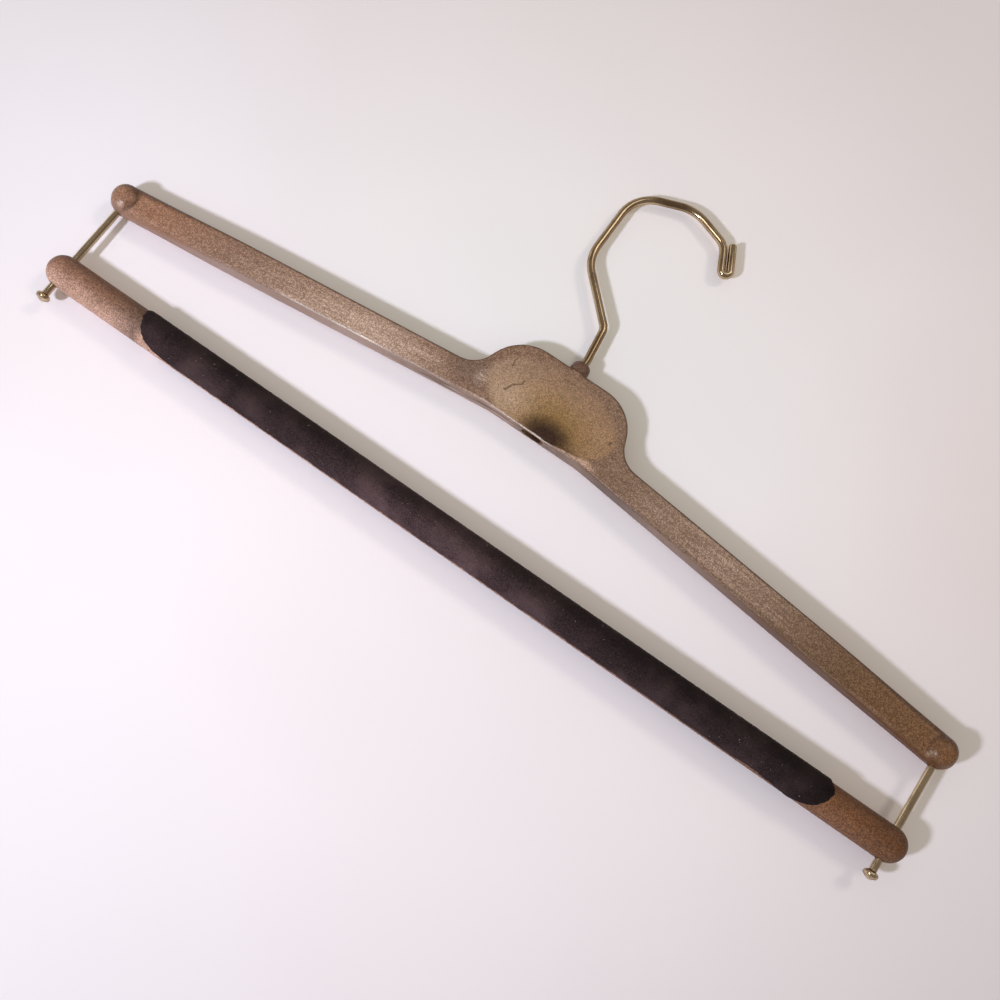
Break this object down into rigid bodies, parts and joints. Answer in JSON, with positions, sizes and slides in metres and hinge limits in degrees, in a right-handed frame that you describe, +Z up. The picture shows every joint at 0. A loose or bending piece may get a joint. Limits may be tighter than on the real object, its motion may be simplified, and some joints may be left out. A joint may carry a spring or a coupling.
{
  "type": "suit hanger",
  "caption": "Clothes hanger with a moulded shoulder body and dished centre plaque, a swivelling wire hook and a flocked trouser bar that slides up and down on headed guide rods.",
  "frame": {"origin": "where a rail touches the hook, on the inside of the top of its bow, straight above the stem", "axes": "+X along the shoulders to the wearer's left seen from the front, +Y to the back, +Z up; the front faces -Y"},
  "size_m": [0.4318, 0.0164, 0.2045],
  "materials": {
    "moulded_fibre": "pressed wood fibre and resin, pink-brown and speckled, worn satin",
    "hook_wire": "pale brass plating, bright with tarnished streaks",
    "washer_steel": "plain dull steel",
    "rod_metal": "pale brass plating, dulled",
    "flock": "near-black aubergine velvet flock"
  },
  "bodies": {
    "shoulders": {"shoulder_body": "moulded_fibre", "left_guide_rod": "rod_metal", "right_guide_rod": "rod_metal", "hook_washer": "washer_steel"},
    "hook": {"hook": "hook_wire"},
    "bar": {"trouser_bar": "moulded_fibre", "flock_cover": "flock"}
  },
  "joints": [
    {"name": "hook_swivel", "type": "hinge", "parent": "shoulders", "child": "hook", "pos_m": [0, 0, -0.1], "axis": [0, 0, -1], "continuous": true},
    {"name": "bar_slide", "type": "slide", "parent": "shoulders", "child": "bar", "axis": [0, 0, 1], "range_m": [-0.0049, 0.0277]}
  ]
}
